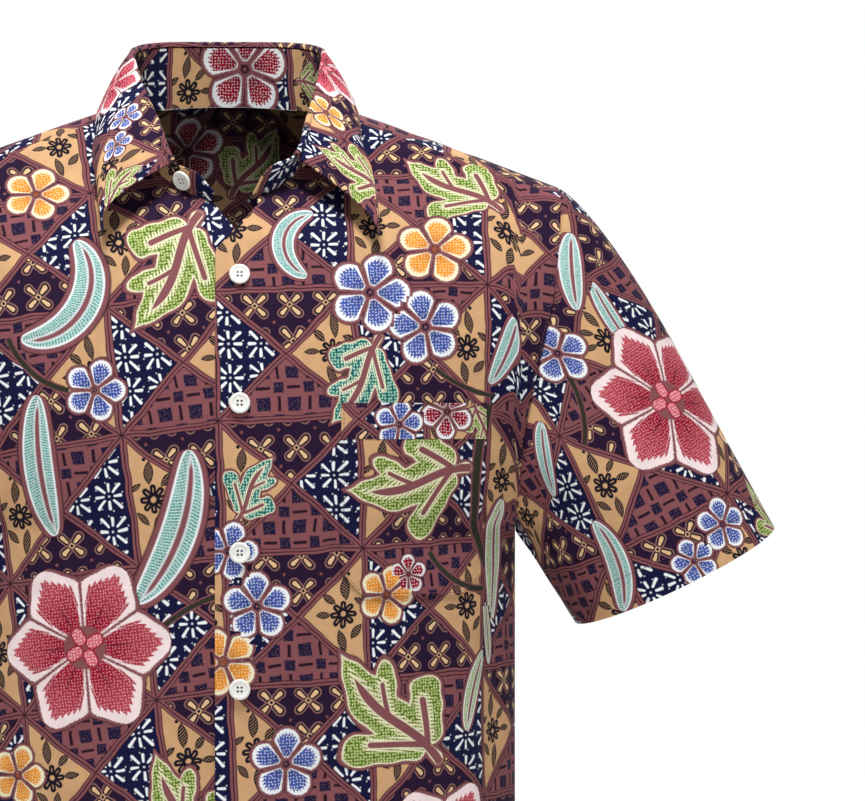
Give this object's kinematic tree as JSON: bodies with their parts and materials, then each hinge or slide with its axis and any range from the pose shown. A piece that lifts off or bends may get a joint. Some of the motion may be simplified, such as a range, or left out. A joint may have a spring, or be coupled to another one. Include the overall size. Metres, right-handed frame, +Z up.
{
  "type": "batik shirt",
  "caption": "Short-sleeved patchwork batik shirt with an open collar, chest pocket and plain buttons, filled out as if worn.",
  "frame": {"origin": "between the shoulders at the foot of the neck, where the wearer's shoulders hold the shirt up", "axes": "+X to the wearer's left, +Y to the wearer's back, +Z up"},
  "size_m": [0.788, 0.2584, 0.7916],
  "materials": {
    "cloth": "smooth printed cotton, patchwork batik in plum, navy, mauve and tan, matt with a faint sheen",
    "sleeve_cloth": "the same printed cotton, its print following the sleeve",
    "collar_cloth": "the same printed cotton, stiffened, with edge topstitching",
    "pocket_cloth": "the same printed cotton, matched to the front below a turned band",
    "button": "smooth off-white button with a soft gloss"
  },
  "bodies": {
    "root": {"front_left": "cloth", "front_right": "cloth", "back": "cloth", "yoke": "cloth", "sleeve_left": "sleeve_cloth", "sleeve_right": "sleeve_cloth", "collar_stand": "collar_cloth", "collar_leaf": "collar_cloth", "pocket": "pocket_cloth", "button_1": "button", "button_2": "button", "button_3": "button", "button_4": "button", "button_5": "button", "button_6": "button", "button_collar": "button"}
  },
  "joints": []
}
